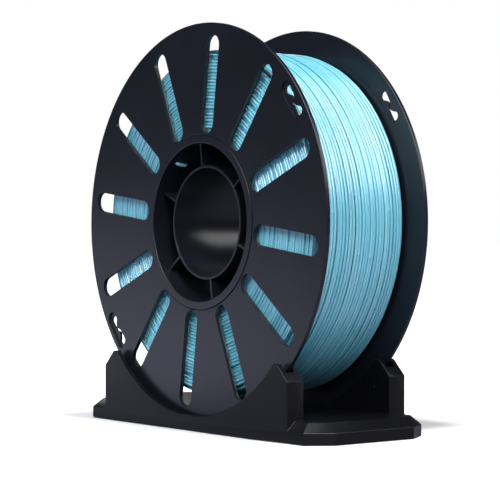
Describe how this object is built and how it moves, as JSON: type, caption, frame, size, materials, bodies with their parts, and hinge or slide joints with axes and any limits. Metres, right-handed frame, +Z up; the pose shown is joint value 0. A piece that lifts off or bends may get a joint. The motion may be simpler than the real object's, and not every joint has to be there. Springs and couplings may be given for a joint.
{
  "type": "spool holder stand",
  "caption": "Low desktop stand whose slotted cheeks carry a filament spool by its rims on small ball bearings, so the spool turns as filament is pulled.",
  "frame": {"origin": "on the ground under the middle of the spool's axis, which is also the middle of the stand", "axes": "+X along the stand, +Y along the spool's axis from the front flange to the rear one, +Z up"},
  "size_m": [0.2, 0.0744, 0.2046],
  "materials": {
    "stand_plastic": "matt black, fine layer lines",
    "spool_plastic": "satin bluish charcoal",
    "filament": "glossy light cyan-blue",
    "bearing_steel": "ground bearing steel",
    "shield_steel": "pressed steel",
    "pin_steel": "ground steel pin",
    "foot_rubber": "black rubber"
  },
  "bodies": {
    "stand": {"stand_body": "stand_plastic", "rubber_foot_front_left": "foot_rubber", "rubber_foot_front_right": "foot_rubber", "rubber_foot_rear_left": "foot_rubber", "rubber_foot_rear_right": "foot_rubber", "bearing_inner_race_front_left": "bearing_steel", "bearing_inner_race_front_right": "bearing_steel", "bearing_inner_race_rear_left": "bearing_steel", "bearing_inner_race_rear_right": "bearing_steel", "bearing_pin_front_left": "pin_steel", "bearing_pin_front_right": "pin_steel", "bearing_pin_rear_left": "pin_steel", "bearing_pin_rear_right": "pin_steel"},
    "spool": {"spool_flange_front": "spool_plastic", "spool_flange_rear": "spool_plastic", "spool_core_front": "spool_plastic", "spool_core_rear": "spool_plastic", "filament_winding": "filament"},
    "bearing_roller_front_left": {"bearing_outer_race_front_left": "bearing_steel", "bearing_shield_outer_front_left": "shield_steel", "bearing_shield_inner_front_left": "shield_steel"},
    "bearing_cage_body_front_left": {"bearing_cage_front_left": "bearing_steel"},
    "bearing_roller_front_right": {"bearing_outer_race_front_right": "bearing_steel", "bearing_shield_outer_front_right": "shield_steel", "bearing_shield_inner_front_right": "shield_steel"},
    "bearing_cage_body_front_right": {"bearing_cage_front_right": "bearing_steel"},
    "bearing_roller_rear_left": {"bearing_outer_race_rear_left": "bearing_steel", "bearing_shield_outer_rear_left": "shield_steel", "bearing_shield_inner_rear_left": "shield_steel"},
    "bearing_cage_body_rear_left": {"bearing_cage_rear_left": "bearing_steel"},
    "bearing_roller_rear_right": {"bearing_outer_race_rear_right": "bearing_steel", "bearing_shield_outer_rear_right": "shield_steel", "bearing_shield_inner_rear_right": "shield_steel"},
    "bearing_cage_body_rear_right": {"bearing_cage_rear_right": "bearing_steel"}
  },
  "joints": [
    {"name": "spool_spin", "type": "hinge", "parent": "stand", "child": "spool", "pos_m": [0, 0, 0.1046], "axis": [0, 1, 0], "continuous": true},
    {"name": "bearing_spin_front_left", "type": "hinge", "parent": "stand", "child": "bearing_roller_front_left", "pos_m": [-0.06756, -0.0316, 0.02409], "axis": [0, 1, 0], "continuous": true},
    {"name": "cage_spin_front_left", "type": "hinge", "parent": "stand", "child": "bearing_cage_body_front_left", "pos_m": [-0.06756, -0.0316, 0.02409], "axis": [0, 1, 0], "continuous": true},
    {"name": "bearing_spin_front_right", "type": "hinge", "parent": "stand", "child": "bearing_roller_front_right", "pos_m": [0.06756, -0.0316, 0.02409], "axis": [0, 1, 0], "continuous": true},
    {"name": "cage_spin_front_right", "type": "hinge", "parent": "stand", "child": "bearing_cage_body_front_right", "pos_m": [0.06756, -0.0316, 0.02409], "axis": [0, 1, 0], "continuous": true},
    {"name": "bearing_spin_rear_left", "type": "hinge", "parent": "stand", "child": "bearing_roller_rear_left", "pos_m": [-0.06756, 0.0316, 0.02409], "axis": [0, 1, 0], "continuous": true},
    {"name": "cage_spin_rear_left", "type": "hinge", "parent": "stand", "child": "bearing_cage_body_rear_left", "pos_m": [-0.06756, 0.0316, 0.02409], "axis": [0, 1, 0], "continuous": true},
    {"name": "bearing_spin_rear_right", "type": "hinge", "parent": "stand", "child": "bearing_roller_rear_right", "pos_m": [0.06756, 0.0316, 0.02409], "axis": [0, 1, 0], "continuous": true},
    {"name": "cage_spin_rear_right", "type": "hinge", "parent": "stand", "child": "bearing_cage_body_rear_right", "pos_m": [0.06756, 0.0316, 0.02409], "axis": [0, 1, 0], "continuous": true}
  ],
  "couplings": [
    {"joint": "bearing_spin_front_left", "follows": "spool_spin", "ratio": -20},
    {"joint": "cage_spin_front_left", "follows": "spool_spin", "ratio": -12.256},
    {"joint": "bearing_spin_front_right", "follows": "spool_spin", "ratio": -20},
    {"joint": "cage_spin_front_right", "follows": "spool_spin", "ratio": -12.256},
    {"joint": "bearing_spin_rear_left", "follows": "spool_spin", "ratio": -20},
    {"joint": "cage_spin_rear_left", "follows": "spool_spin", "ratio": -12.256},
    {"joint": "bearing_spin_rear_right", "follows": "spool_spin", "ratio": -20},
    {"joint": "cage_spin_rear_right", "follows": "spool_spin", "ratio": -12.256}
  ]
}
